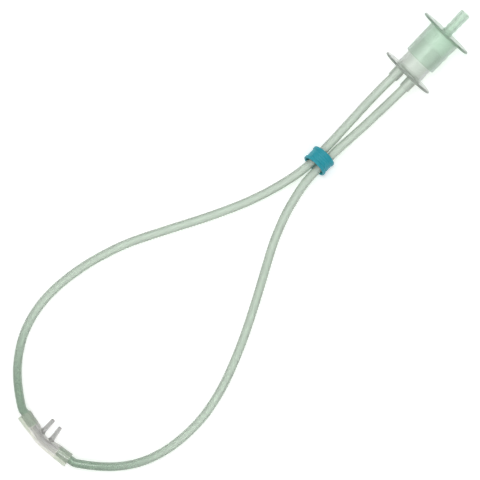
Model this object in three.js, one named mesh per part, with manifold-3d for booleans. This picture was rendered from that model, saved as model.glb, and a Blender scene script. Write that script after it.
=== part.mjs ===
// A nasal oxygen cannula with a 15 mm cone connector, in millimetres, +Z up.
//
// The set lies on a level floor: the connector rests on the rims of its two disc
// flanges, and the two tubes run down from it, through a slide ring, and round a
// wide loop to the nose piece. +Y runs along the connector towards the hose nipple.
// Stations along Y are counted from the mouths of the two tube sockets, and the
// finished group is then moved so that the origin lies on the floor, under the
// middle of the three moulded pieces at its ends.

import * as THREE from "three";
import { mergeVertices } from "three/addons/utils/BufferGeometryUtils.js";
import Module from "manifold-3d";

const wasm = await Module();
wasm.setup();

// Clearances between pieces that touch on the real thing
const SEAT_GAP = 0.3;
const TUBE_GAP = 0.2;
const FLOOR_GAP = 0.05;

// How far a cutter runs past what it opens
const CUT_OVERRUN = 1;

// Tubing
const TUBE_DIAMETER = 4.6;
const TUBE_STEP = 9.2;
const TUBE_SIDES = 10;

// Disc flanges, the same on both halves of the connector
const FLANGE_DIAMETER = 29.8;
const FLANGE_THICKNESS = 1.4;
const FLANGE_PITCH = 27.8;

// Y connector: two tube sockets, a flange and a male cone of 1:40 taper
const SOCKET_SPACING = 8.0;
const SOCKET_LENGTH = 6.45;
const SOCKET_WALL = 0.4;
const SOCKET_SEAT_DEPTH = 6.0;
const GAS_BORE_DIAMETER = 3.0;
const CONE_BASE_DIAMETER = 15.5;
const CONE_LENGTH = 17.3;
const CONE_TAPER = 1 / 40;
const CONE_WALL = 1.4;
const CONE_EDGE = 0.35;
const CONE_FLOOR = 0.5;

// Hose adapter: a cup over the cone, a flange and a barbed hose nipple
const CUP_LENGTH = 18.5;
const CUP_DIAMETER = 18.4;
const CUP_DRAFT = 0.2;
const CUP_EDGE = 0.4;
const CUP_FLOOR = 1.8;
const NIPPLE_LENGTH = 13.6;
const NIPPLE_DIAMETER = 5.2;
const NIPPLE_BORE = 3.0;
const COLLAR_LENGTH = 0.8;
const COLLAR_SLOPE = 0.3;
const BARB_HEIGHT = 0.3;
const BARB_FALL = 0.05;
const BARB_CREST = 0.5;
const BARB_BACK = 0.4;
const BARB_PITCH = 3.6;
const BARB_COUNT = 2;
const BARB_START = 3.5;
const TIP_SECTION_LENGTH = 4.4;
const TIP_EDGE = 0.3;

// Slide ring on the two tubes, lying cocked
const RING_LENGTH = 8.2;
const RING_DIAMETER = 13.6;
const RING_WALL = 1.15;
const RING_WAIST_DEPTH = 0.45;
const RING_RIM_WIDTH = 1.5;
const RING_RIM_SLOPE = 0.2;
const RING_RIB_COUNT = 3;
const RING_RIB_HEIGHT = 0.2;
const RING_RIB_HALF_WIDTH = 0.3;
const RING_MOUTH_ROUND = 0.7;
const RING_EDGE_ROUND = 0.4;
const RING_CENTRE = new THREE.Vector3(-1.12, -57.55, 7.95);
const RING_PITCH_DEG = 22;
const RING_YAW_DEG = 0.5;

// Nose piece: a bent body, a socket at each end and two prongs on the hollow side
const NOSE_CENTRE_X = -2.7;
const NOSE_CENTRE_Y = -264.8;
const NOSE_YAW_DEG = -2;
const NOSE_LENGTH = 34;
const NOSE_BEND_RADIUS = 84;
const NOSE_MIDDLE_DIAMETER = 6.3;
const NOSE_MIDDLE_SHIFT = 1.05;
const NOSE_SOCKET_DIAMETER = 8.0;
const NOSE_SOCKET_DRAFT = 0.15;
const NOSE_SEAT_DEPTH = 8.0;
const NOSE_SEAT_OFFSET = 0.95;
const NOSE_LUMEN_DIAMETER = 3.2;
const PRONG_REACH = 11.3;
const PRONG_SPACING = 6.7;
const PRONG_ROOT_DIAMETER = 3.0;
const PRONG_TIP_DIAMETER = 2.2;
const PRONG_FILLET = 1.1;
const PRONG_SINK = 0.5;
const PRONG_BORE = 1.2;
const PRONG_LEAN_DEG = 6.5;
const PRONG_CONVERGE_DEG = 3.5;
const PRONG_RAISE_DEG = 4;

// Round pieces are turned with this many sides
const TURNED_SIDES = 36;
const RING_SIDES = 32;
const NOSE_SIDES = 20;
const BORE_SIDES = 24;
const PRONG_SIDES = 14;
const NOSE_ROWS = 20;
const LUMEN_ROWS = 8;

// Sizes that follow from the ones above
const tubeRadius = TUBE_DIAMETER / 2;
const seatRadius = tubeRadius + TUBE_GAP;
const flangeRadius = FLANGE_DIAMETER / 2;
const axisHeight = flangeRadius;
const lowerFlangeY = SOCKET_LENGTH;
const coneBaseY = lowerFlangeY + FLANGE_THICKNESS;
const coneTipY = coneBaseY + CONE_LENGTH;
const upperFlangeY = lowerFlangeY + FLANGE_PITCH;
const nippleBaseY = upperFlangeY + FLANGE_THICKNESS;
const nippleTipY = nippleBaseY + NIPPLE_LENGTH;
const cupLipY = upperFlangeY - CUP_LENGTH;
const noseHeight = NOSE_SOCKET_DIAMETER / 2 + FLOOR_GAP;

const coneRadiusAt = (y) => CONE_BASE_DIAMETER / 2 - ((y - coneBaseY) * CONE_TAPER) / 2;

// Where each tube runs, from its seat in the connector to its seat in the nose piece
const LEFT_ROUTE = [
  [-4, 5.7, 14.9], [-4, 0, 14.9], [-4.15, -6, 14.7], [-4.18, -12, 13.85], [-4.08, -20, 11.75],
  [-3.8, -30, 9.95], [-3.45, -40, 9.12], [-3.3, -48, 8.54], [-3.28, -56, 7.97], [-3.5, -62, 7.54],
  [-4.1, -68, 7.1], [-5.25, -74.1, 6.55], [-7.08, -81.58, 5.7], [-9.62, -90.09, 4.65],
  [-12.63, -98.51, 3.7], [-16.11, -106.73, 2.95], [-19.96, -114.92, 2.5], [-23.98, -122.97, 2.38],
  [-32.42, -138.85, 2.35], [-40.69, -154.85, 2.35], [-44.29, -163.02, 2.35], [-47.26, -171.51, 2.35],
  [-49.81, -180.1, 2.35], [-51.71, -188.87, 2.35], [-53, -197.74, 2.35], [-53.56, -206.7, 2.35],
  [-53.07, -215.65, 2.35], [-51.39, -224.39, 2.35], [-48.42, -232.83, 2.35], [-44.09, -240.6, 2.35],
  [-38.71, -247.73, 2.4], [-32.05, -254.13, 2.8], [-25.2, -259.15, 3.75], [-21.9, -261.17, 4.05],
  [-19.35, -261.66, 4.05], [-15.43, -262.41, 4.05], [-11.84, -263.1, 4.05],
];
const RIGHT_ROUTE = [
  [4, 5.7, 14.9], [4, 0, 14.9], [3.85, -6, 14.7], [3.62, -12, 13.85], [3.3, -20, 11.75],
  [2.83, -30, 9.95], [2.13, -40, 9.12], [1.6, -48, 8.54], [1.48, -56, 7.97], [1.3, -62, 7.54],
  [1.35, -68, 7.1], [2.03, -73.93, 6.55], [3.41, -80.9, 5.76], [5.58, -89.38, 4.71],
  [8.41, -97.58, 3.78], [11.8, -105.86, 3], [15.78, -113.85, 2.54], [19.95, -121.87, 2.39],
  [28.12, -137.89, 2.35], [35.82, -154.2, 2.35], [42.46, -170.9, 2.35], [45.19, -179.52, 2.35],
  [47.27, -188.35, 2.35], [48.62, -197.27, 2.35], [48.92, -206.31, 2.35], [48.35, -215.24, 2.35],
  [46.81, -224.17, 2.35], [44.08, -232.81, 2.35], [40.06, -240.86, 2.35], [34.69, -248.16, 2.4],
  [28.09, -254.6, 2.8], [20.3, -260.45, 3.8], [16.91, -262.45, 4.05], [14.13, -262.83, 4.05],
  [10.16, -263.31, 4.05], [6.54, -263.74, 4.05],
];

// A geometry as a solid that can be joined and cut
function toSolid(geometry) {
  const bare = geometry.clone();
  bare.deleteAttribute("normal");
  bare.deleteAttribute("uv");
  const merged = mergeVertices(bare, 1e-4);
  const index = merged.index.array;
  const kept = [];
  for (let i = 0; i < index.length; i += 3) {
    const [a, b, c] = [index[i], index[i + 1], index[i + 2]];
    if (a !== b && b !== c && c !== a) kept.push(a, b, c);
  }
  return new wasm.Manifold(
    new wasm.Mesh({
      numProp: 3,
      vertProperties: new Float32Array(merged.attributes.position.array),
      triVerts: new Uint32Array(kept),
    }),
  );
}

// The solid's faces as a geometry again
function toGeometry(solid) {
  const mesh = solid.getMesh();
  const geometry = new THREE.BufferGeometry();
  geometry.setAttribute("position", new THREE.BufferAttribute(new Float32Array(mesh.vertProperties), 3));
  geometry.setIndex(new THREE.BufferAttribute(new Uint32Array(mesh.triVerts), 1));
  geometry.computeVertexNormals();
  return geometry;
}

// A profile of [radius, station] pairs turned about Y
function turned(profile, sides) {
  return new THREE.LatheGeometry(profile.map(([r, y]) => new THREE.Vector2(r, y)), sides);
}

// A closed profile that doesn't reach the axis, turned about Y
function turnedRing(profile, sides) {
  return turned([...profile, profile[0]], sides);
}

// A plain round cutter along Y between two stations
function roundCutter(radius, fromY, toY, x = 0) {
  const cutter = new THREE.CylinderGeometry(radius, radius, toY - fromY, BORE_SIDES);
  return cutter.translate(x, (fromY + toY) / 2, 0);
}

// Profile points round a quarter or half circle, angles in degrees from the radius direction
function arcPoints(radius, station, size, fromDeg, toDeg, steps) {
  return Array.from({ length: steps + 1 }, (_, i) => {
    const angle = THREE.MathUtils.degToRad(fromDeg + ((toDeg - fromDeg) * i) / steps);
    return [radius + size * Math.cos(angle), station + size * Math.sin(angle)];
  });
}

// A flange's outline from its lower face, round its full-round rim, to its upper face
function flangeOutline(lowerY) {
  const half = FLANGE_THICKNESS / 2;
  return arcPoints(flangeRadius - half, lowerY + half, half, -90, 90, 4);
}

function makeYConnector() {
  const hollowBaseY = coneBaseY + CONE_FLOOR;
  const body = toSolid(turned([
    [0, lowerFlangeY],
    ...flangeOutline(lowerFlangeY),
    [coneRadiusAt(coneBaseY), coneBaseY],
    [coneRadiusAt(coneTipY - CONE_EDGE), coneTipY - CONE_EDGE],
    [coneRadiusAt(coneTipY) - CONE_EDGE, coneTipY],
    [coneRadiusAt(coneTipY) - CONE_WALL, coneTipY],
    [coneRadiusAt(hollowBaseY) - CONE_WALL, hollowBaseY],
    [0, hollowBaseY],
  ], TURNED_SIDES));
  const sink = FLANGE_THICKNESS / 2;
  let solid = body;
  for (const x of [-SOCKET_SPACING / 2, SOCKET_SPACING / 2]) {
    const socket = roundCutter(seatRadius + SOCKET_WALL, 0, lowerFlangeY + sink, x);
    solid = solid.add(toSolid(socket));
  }
  for (const x of [-SOCKET_SPACING / 2, SOCKET_SPACING / 2]) {
    solid = solid.subtract(toSolid(roundCutter(seatRadius, -sink, SOCKET_SEAT_DEPTH, x)));
    solid = solid.subtract(toSolid(roundCutter(GAS_BORE_DIAMETER / 2, -sink, hollowBaseY + sink, x)));
  }
  return toGeometry(solid);
}

// The nipple's outside, from the flange to its tip: barbs that rise to a crest and step back
function nippleOutline() {
  const radius = NIPPLE_DIAMETER / 2;
  const crest = radius + BARB_HEIGHT;
  const land = crest - BARB_FALL;
  const collarY = nippleBaseY + COLLAR_LENGTH;
  const points = [[crest, nippleBaseY], [crest, collarY], [radius, collarY + COLLAR_SLOPE]];
  for (let i = 0; i < BARB_COUNT; i += 1) {
    const y = nippleBaseY + BARB_START + i * BARB_PITCH;
    points.push([crest, y], [land, y + BARB_CREST], [radius, y + BARB_CREST + BARB_BACK]);
  }
  const tipSectionY = nippleTipY - TIP_SECTION_LENGTH;
  points.push([crest, tipSectionY], [land, nippleTipY - TIP_EDGE], [land - TIP_EDGE, nippleTipY]);
  return points;
}

function makeHoseAdapter() {
  const cupFloorY = nippleBaseY - CUP_FLOOR;
  const boreRadiusAt = (y) => coneRadiusAt(y) + SEAT_GAP;
  return turnedRing([
    [boreRadiusAt(cupLipY) + CUP_EDGE / 2, cupLipY],
    [CUP_DIAMETER / 2 - CUP_DRAFT - CUP_EDGE, cupLipY],
    [CUP_DIAMETER / 2 - CUP_DRAFT, cupLipY + CUP_EDGE],
    [CUP_DIAMETER / 2, upperFlangeY],
    ...flangeOutline(upperFlangeY),
    ...nippleOutline(),
    [NIPPLE_BORE / 2, nippleTipY],
    [NIPPLE_BORE / 2, cupFloorY],
    [boreRadiusAt(cupFloorY), cupFloorY],
    [boreRadiusAt(cupLipY), cupLipY + CUP_EDGE],
  ], TURNED_SIDES);
}

function makeSlideRing() {
  const outer = RING_DIAMETER / 2;
  const inner = outer - RING_WALL;
  const half = RING_LENGTH / 2;
  const waist = outer - RING_WAIST_DEPTH;
  const profile = [
    ...arcPoints(inner + RING_MOUTH_ROUND, -half + RING_MOUTH_ROUND, RING_MOUTH_ROUND, 180, 270, 3),
    ...arcPoints(outer - RING_EDGE_ROUND, -half + RING_EDGE_ROUND, RING_EDGE_ROUND, -90, 0, 2),
    [outer, -half + RING_RIM_WIDTH - RING_RIM_SLOPE],
    [waist, -half + RING_RIM_WIDTH + RING_RIM_SLOPE],
  ];
  const ribPitch = (RING_LENGTH - 2 * RING_RIM_WIDTH) / (RING_RIB_COUNT + 1);
  for (let i = 1; i <= RING_RIB_COUNT; i += 1) {
    const y = -half + RING_RIM_WIDTH + i * ribPitch;
    const [start, end] = [y - RING_RIB_HALF_WIDTH, y + RING_RIB_HALF_WIDTH];
    profile.push([waist, start], [waist + RING_RIB_HEIGHT, y], [waist, end]);
  }
  profile.push(
    [waist, half - RING_RIM_WIDTH - RING_RIM_SLOPE],
    [outer, half - RING_RIM_WIDTH + RING_RIM_SLOPE],
    ...arcPoints(outer - RING_EDGE_ROUND, half - RING_EDGE_ROUND, RING_EDGE_ROUND, 0, 90, 2),
    ...arcPoints(inner + RING_MOUTH_ROUND, half - RING_MOUTH_ROUND, RING_MOUTH_ROUND, 90, 180, 3),
  );
  return turnedRing(profile, RING_SIDES);
}

// How far a place on the nose piece's arc is from its middle, 0, to its sockets, 1, smoothly
function noseFlareAt(s) {
  const seatStart = NOSE_LENGTH / 2 - NOSE_SEAT_DEPTH;
  const share = THREE.MathUtils.clamp(Math.abs(s) / seatStart, 0, 1);
  return share * share * (3 - 2 * share);
}

// Radius of the nose piece's body at a distance along its arc from the middle
function noseRadiusAt(s) {
  const seatStart = NOSE_LENGTH / 2 - NOSE_SEAT_DEPTH;
  const middle = NOSE_MIDDLE_DIAMETER / 2;
  const shoulder = NOSE_SOCKET_DIAMETER / 2 - NOSE_SOCKET_DRAFT;
  const socket = Math.max(0, Math.abs(s) - seatStart) / NOSE_SEAT_DEPTH;
  return middle + (shoulder - middle) * noseFlareAt(s) + NOSE_SOCKET_DRAFT * socket;
}

// Bends a geometry that stands along Y into the nose piece's arc, which lies level: the station
// runs along the arc, and the old X becomes the distance from its centre line, which swings
// outwards near the middle
function bent(geometry) {
  const position = geometry.attributes.position;
  for (let i = 0; i < position.count; i += 1) {
    const s = position.getY(i);
    const angle = s / NOSE_BEND_RADIUS;
    const swing = NOSE_MIDDLE_SHIFT * (1 - noseFlareAt(s));
    const reach = NOSE_BEND_RADIUS + position.getX(i) + swing;
    position.setXYZ(
      i,
      reach * Math.sin(angle),
      NOSE_BEND_RADIUS - reach * Math.cos(angle),
      position.getZ(i),
    );
  }
  return geometry;
}

function makeProng(side) {
  const root = PRONG_ROOT_DIAMETER / 2;
  const tip = PRONG_TIP_DIAMETER / 2;
  const filletY = NOSE_MIDDLE_DIAMETER / 2 - NOSE_MIDDLE_SHIFT - PRONG_SINK + PRONG_FILLET;
  const lip = (tip - PRONG_BORE / 2) / 2;
  const outline = [
    [0, 0],
    [root + PRONG_FILLET, 0],
    ...arcPoints(root + PRONG_FILLET, filletY, PRONG_FILLET, 270, 180, 3),
    ...arcPoints(tip - lip, PRONG_REACH - lip, lip, 0, 90, 3),
    [0, PRONG_REACH],
  ];
  const lean = THREE.MathUtils.degToRad(PRONG_LEAN_DEG + side * PRONG_CONVERGE_DEG);
  const raise = THREE.MathUtils.degToRad(PRONG_RAISE_DEG);
  const rootX = (side * PRONG_SPACING) / 2;
  const place = (geometry) => geometry.rotateX(raise).rotateZ(lean).translate(rootX, 0, 0);
  return {
    body: toSolid(place(turned(outline, PRONG_SIDES))),
    bore: toSolid(place(roundCutter(PRONG_BORE / 2, 0, PRONG_REACH + CUT_OVERRUN))),
  };
}

// A round bar along the nose piece's arc, centred on its middle
function makeNoseBar(half, rows, sides, radiusAt) {
  const outline = Array.from({ length: rows + 1 }, (_, i) => {
    const s = -half + (2 * half * i) / rows;
    return [radiusAt(s), s];
  });
  return toSolid(bent(turned([[0, -half], ...outline, [0, half]], sides)));
}

function makeNosePiece() {
  const half = NOSE_LENGTH / 2;
  const prongs = [makeProng(-1), makeProng(1)];
  let solid = makeNoseBar(half, NOSE_ROWS, NOSE_SIDES, noseRadiusAt);
  for (const prong of prongs) solid = solid.add(prong.body);
  const lumenHalf = half - NOSE_SEAT_DEPTH + CUT_OVERRUN;
  solid = solid.subtract(makeNoseBar(lumenHalf, LUMEN_ROWS, PRONG_SIDES, () => NOSE_LUMEN_DIAMETER / 2));
  for (const prong of prongs) solid = solid.subtract(prong.bore);
  const seatAngle = (half - NOSE_SEAT_DEPTH / 2) / NOSE_BEND_RADIUS;
  const reach = NOSE_BEND_RADIUS - NOSE_SEAT_OFFSET;
  const cutter = roundCutter(seatRadius, -NOSE_SEAT_DEPTH / 2, NOSE_SEAT_DEPTH / 2 + CUT_OVERRUN);
  cutter.rotateZ(seatAngle - Math.PI / 2);
  cutter.translate(reach * Math.sin(seatAngle), NOSE_BEND_RADIUS - reach * Math.cos(seatAngle), 0);
  const seat = toSolid(cutter);
  return toGeometry(solid.subtract(seat).subtract(seat.mirror([1, 0, 0])));
}

function makeTube(route) {
  const stops = route.map((point) => new THREE.Vector3(...point));
  const curve = new THREE.CatmullRomCurve3(stops, false, "centripetal");
  const section = new THREE.Shape();
  for (let i = 0; i < TUBE_SIDES; i += 1) {
    const angle = (2 * Math.PI * i) / TUBE_SIDES;
    const [x, y] = [tubeRadius * Math.cos(angle), tubeRadius * Math.sin(angle)];
    if (i === 0) section.moveTo(x, y);
    else section.lineTo(x, y);
  }
  return new THREE.ExtrudeGeometry(section, {
    steps: Math.round(curve.getLength() / TUBE_STEP),
    extrudePath: curve,
    bevelEnabled: false,
  });
}

const looks = {
  clear: { color: 0xc9cfca, roughness: 0.25, metalness: 0 },
  green: { color: 0xb4d0bd, roughness: 0.25, metalness: 0 },
  tubing: { color: 0xa9c6ac, roughness: 0.2, metalness: 0 },
  teal: { color: 0x2b9aa8, roughness: 0.55, metalness: 0 },
};

function named(name, geometry, look) {
  const mesh = new THREE.Mesh(geometry, new THREE.MeshStandardMaterial(look));
  mesh.name = name;
  return mesh;
}

const yConnector = named("y_connector", makeYConnector(), looks.clear);
yConnector.position.z = axisHeight;

const hoseAdapter = named("hose_adapter", makeHoseAdapter(), looks.green);
hoseAdapter.position.z = axisHeight;

const slideRing = named("slide_ring", makeSlideRing(), looks.teal);
slideRing.position.copy(RING_CENTRE);
slideRing.rotation.set(
  THREE.MathUtils.degToRad(-RING_PITCH_DEG),
  0,
  THREE.MathUtils.degToRad(RING_YAW_DEG),
  "ZXY",
);

const nosePiece = named("nose_piece", makeNosePiece(), looks.clear);
nosePiece.position.set(NOSE_CENTRE_X, NOSE_CENTRE_Y, noseHeight);
nosePiece.rotation.z = THREE.MathUtils.degToRad(NOSE_YAW_DEG);

const cannula = new THREE.Group();
cannula.add(
  yConnector,
  hoseAdapter,
  slideRing,
  nosePiece,
  named("tube_left", makeTube(LEFT_ROUTE), looks.tubing),
  named("tube_right", makeTube(RIGHT_ROUTE), looks.tubing),
);

// The origin goes on the floor, under the middle of the moulded pieces
cannula.updateMatrixWorld(true);
const moulded = new THREE.Box3();
for (const piece of [yConnector, hoseAdapter, nosePiece]) moulded.expandByObject(piece, true);
const middle = moulded.getCenter(new THREE.Vector3());
cannula.position.set(-middle.x, -middle.y, -moulded.min.z);

export default cannula;
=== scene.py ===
"""Looks of an infant nasal oxygen cannula that lies on a white table.

Every surface is worked out with numpy in millimetres, in the set's own layout: X = 0 is the axis of
the connector, Y = 0 lies at the mouths of its two tube sockets, Y runs towards the hose nipple, and
Z = 0 is the table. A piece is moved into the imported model's place and turned into metres only when
its mesh is written.
"""
import logging
import math
from dataclasses import dataclass, field
from enum import Enum

import bpy
import numpy as np
from mathutils import Matrix, Vector


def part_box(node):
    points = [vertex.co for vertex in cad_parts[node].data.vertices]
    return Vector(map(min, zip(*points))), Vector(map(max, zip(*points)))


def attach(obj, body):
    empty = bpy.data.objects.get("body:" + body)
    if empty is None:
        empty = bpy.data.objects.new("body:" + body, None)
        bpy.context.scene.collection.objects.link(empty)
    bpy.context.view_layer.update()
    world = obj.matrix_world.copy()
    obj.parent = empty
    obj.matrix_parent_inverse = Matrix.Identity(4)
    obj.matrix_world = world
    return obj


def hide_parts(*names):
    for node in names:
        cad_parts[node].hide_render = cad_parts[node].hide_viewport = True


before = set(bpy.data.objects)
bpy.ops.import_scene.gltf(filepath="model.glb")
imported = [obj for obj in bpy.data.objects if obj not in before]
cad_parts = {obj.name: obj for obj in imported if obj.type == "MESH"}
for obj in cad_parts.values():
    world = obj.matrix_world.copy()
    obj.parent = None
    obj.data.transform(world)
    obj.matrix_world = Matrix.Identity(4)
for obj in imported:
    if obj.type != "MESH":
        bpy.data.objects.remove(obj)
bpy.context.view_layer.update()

log = logging.getLogger("cannula")

MM = 0.001

# How finely a rounded corner and a span of a curve are divided
CORNER_POINTS = 7
SPAN_POINTS = 40

# The share of a side that the rounding of one corner may take
CORNER_SHARE = 0.48


class Body(Enum):
    """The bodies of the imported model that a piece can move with."""

    CANNULA = "cannula"
    ADAPTER = "adapter"
    RING = "ring"


class Slot(Enum):
    """The record's material slots."""

    CONNECTOR = "clear_connector"
    ADAPTER = "green_adapter"
    TUBING = "green_tubing"
    RING = "teal_ring"
    NOSE = "clear_nose_piece"


class Side(Enum):
    """Left or right of the connector's axis, as seen with the hose nipple pointing away."""

    LEFT = -1
    RIGHT = 1


# Surfaces as arrays


@dataclass
class Form:
    """A closed surface: points in millimetres, and faces as arrays of quads or triangles.

    `lay` holds three numbers a point that a material may read: the cosine and sine of the way
    round the piece, and the distance along it in millimetres.
    """

    points: np.ndarray
    faces: list[np.ndarray]
    lay: np.ndarray | None = None

    def volume(self) -> float:
        """Volume, counted as negative where the faces point inwards.

        It is the sum of a . (b x c) / 6 over the triangles a, b, c.

        Returns:
            The volume in cubic millimetres.
        """
        total = 0.0
        for block in self.faces:
            for k in range(1, block.shape[1] - 1):
                a, b, c = (self.points[block[:, n]] for n in (0, k, k + 1))
                total += float(np.einsum("ij,ij->", a, np.cross(b, c))) / 6.0
        return total

    def outward(self) -> "Form":
        """Turns the faces to point outwards.

        Returns:
            The form itself.
        """
        if self.volume() < 0:
            self.faces = [block[:, ::-1] for block in self.faces]
        return self

    def moved(self, matrix: Matrix) -> "Form":
        """The same surface after a rigid move.

        Args:
            matrix: a 4 by 4 turn and shift, in millimetres.

        Returns:
            A new form at the new place.
        """
        array = np.array(matrix)
        return Form(self.points @ array[:3, :3].T + array[:3, 3], self.faces, self.lay)


def grid_faces(rows: int, columns: int, close_rows: bool) -> np.ndarray:
    """Quads of a grid of rows whose columns run round and close on themselves.

    Args:
        rows: number of rows.
        columns: number of points in each row.
        close_rows: whether the last row joins the first.

    Returns:
        An array of quads, four point numbers each.
    """
    i = np.arange(rows if close_rows else rows - 1)[:, None]
    j = np.arange(columns)[None, :]
    here, after = i * columns, ((i + 1) % rows) * columns
    turn = (j + 1) % columns
    quads = np.stack([here + j, here + turn, after + turn, after + j], axis=-1)
    return quads.reshape(-1, 4)


def softened(corners: list[tuple[float, float, float]], closed: bool, step: float = 0.5) -> np.ndarray:
    """An outline with every corner rounded, and its straight runs divided evenly.

    Each corner is replaced by a quadratic curve B(t) = (1-t)^2 A + 2t(1-t) P + t^2 C, where P is
    the corner and A and C lie on its two sides at the rounding's distance from it.

    Args:
        corners: radius, station and rounding of each corner, in order.
        closed: whether the last corner joins the first.
        step: the longest straight stretch left undivided.

    Returns:
        An array of radius and station pairs.
    """
    array = np.array(corners, dtype=float)
    spots, rounds = array[:, :2], array[:, 2]
    t = np.linspace(0.0, 1.0, CORNER_POINTS)[:, None]
    pieces: list[np.ndarray] = []
    count = len(spots)
    for n in range(count):
        spot, size = spots[n], rounds[n]
        if size <= 0 or (not closed and n in (0, count - 1)):
            pieces.append(spot[None, :])
            continue
        sides = []
        for other in (spots[n - 1], spots[(n + 1) % count]):
            way = other - spot
            sides.append(spot + way * min(size / np.linalg.norm(way), CORNER_SHARE))
        pieces.append((1 - t) ** 2 * sides[0] + 2 * t * (1 - t) * spot + t**2 * sides[1])
    raw = np.vstack(pieces)
    ends = np.vstack([raw[1:], raw[:1]]) if closed else raw[1:]
    starts = raw if closed else raw[:-1]
    filled: list[np.ndarray] = []
    for a, b in zip(starts, ends):
        parts = max(1, int(np.ceil(np.linalg.norm(b - a) / step)))
        filled.append(a + (b - a) * (np.arange(parts) / parts)[:, None])
    if not closed:
        filled.append(raw[-1:])
    return np.vstack(filled)


def turned(outline: np.ndarray, angles: np.ndarray, swell: np.ndarray | None = None) -> Form:
    """A surface of revolution about Y.

    A point at outline place (r, y) and angle a is (r sin a, y, r cos a), so a = 0 points up. An
    outline whose two ends lie on the axis gets a single point at each, and any other outline is a
    closed loop.

    Args:
        outline: radius and station pairs.
        angles: the angles of the columns, rising, over less than a full turn.
        swell: what is added to the radius at each row and column, or None.

    Returns:
        The closed form.
    """
    poles = outline[0, 0] == 0 and outline[-1, 0] == 0
    rings = outline[1:-1] if poles else outline
    radius = np.repeat(rings[:, :1], len(angles), axis=1)
    if swell is not None:
        radius = radius + swell
    station = np.repeat(rings[:, 1:], len(angles), axis=1)
    points = np.stack([radius * np.sin(angles), station, radius * np.cos(angles)], axis=-1)
    rows, columns = points.shape[:2]
    flat = points.reshape(-1, 3)
    lay = np.stack(
        [np.cos(angles)[None, :].repeat(rows, 0), np.sin(angles)[None, :].repeat(rows, 0), station], axis=-1
    ).reshape(-1, 3)
    faces = [grid_faces(rows, columns, not poles)]
    if poles:
        first, last = len(flat), len(flat) + 1
        ends = np.array([[0, outline[0, 1], 0], [0, outline[-1, 1], 0]])
        flat = np.vstack([flat, ends])
        lay = np.vstack([lay, [[1, 0, outline[0, 1]], [1, 0, outline[-1, 1]]]])
        j = np.arange(columns)
        turn = (j + 1) % columns
        top = (rows - 1) * columns
        faces.append(np.stack([np.full(columns, first), turn, j], axis=-1))
        faces.append(np.stack([np.full(columns, last), top + j, top + turn], axis=-1))
    return Form(flat, faces, lay).outward()


def even_angles(count: int) -> np.ndarray:
    """Evenly spaced angles over a full turn."""
    return np.arange(count) * (2 * np.pi / count)


def rod(radius: float, start: float, end: float, sides: int = 96, x: float = 0.0) -> Form:
    """A plain round cutter along Y, used only to cut bores.

    Args:
        radius: its radius.
        start: station of one end.
        end: station of the other end.
        sides: number of its sides.
        x: how far it is from the axis.

    Returns:
        The closed form.
    """
    outline = np.array([[0, start], [radius, start], [radius, end], [0, end]])
    return turned(outline, even_angles(sides)).moved(Matrix.Translation((x, 0, 0)))


def run_through(stops: np.ndarray, step: float) -> np.ndarray:
    """The centripetal Catmull-Rom curve through the stops, at equal steps along its length.

    Each span is the cubic h(t) = (2t^3-3t^2+1) p1 + (t^3-2t^2+t) m1 + (-2t^3+3t^2) p2 + (t^3-t^2) m2,
    whose slopes m1 and m2 come from the gaps to the neighbours, each to the power one half.

    Args:
        stops: the points that the curve passes through.
        step: distance between the points that come back.

    Returns:
        An array of points.
    """
    ends = np.vstack([2 * stops[0] - stops[1], stops, 2 * stops[-1] - stops[-2]])
    p0, p1, p2, p3 = ends[:-3], ends[1:-2], ends[2:-1], ends[3:]
    d0, d1, d2 = (np.linalg.norm(b - a, axis=1)[:, None] ** 0.5 for a, b in ((p0, p1), (p1, p2), (p2, p3)))
    m1 = ((p1 - p0) / d0 - (p2 - p0) / (d0 + d1) + (p2 - p1) / d1) * d1
    m2 = ((p2 - p1) / d1 - (p3 - p1) / (d1 + d2) + (p3 - p2) / d2) * d1
    t = (np.arange(SPAN_POINTS) / SPAN_POINTS)[None, :, None]
    spans = (
        (2 * t**3 - 3 * t**2 + 1) * p1[:, None]
        + (t**3 - 2 * t**2 + t) * m1[:, None]
        + (-2 * t**3 + 3 * t**2) * p2[:, None]
        + (t**3 - t**2) * m2[:, None]
    )
    fine = np.vstack([spans.reshape(-1, 3), stops[-1:]])
    along = np.concatenate([[0], np.cumsum(np.linalg.norm(np.diff(fine, axis=0), axis=1))])
    wanted = np.linspace(0, along[-1], int(round(along[-1] / step)) + 1)
    return np.stack([np.interp(wanted, along, fine[:, k]) for k in range(3)], axis=-1)


# Meshes and objects


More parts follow.
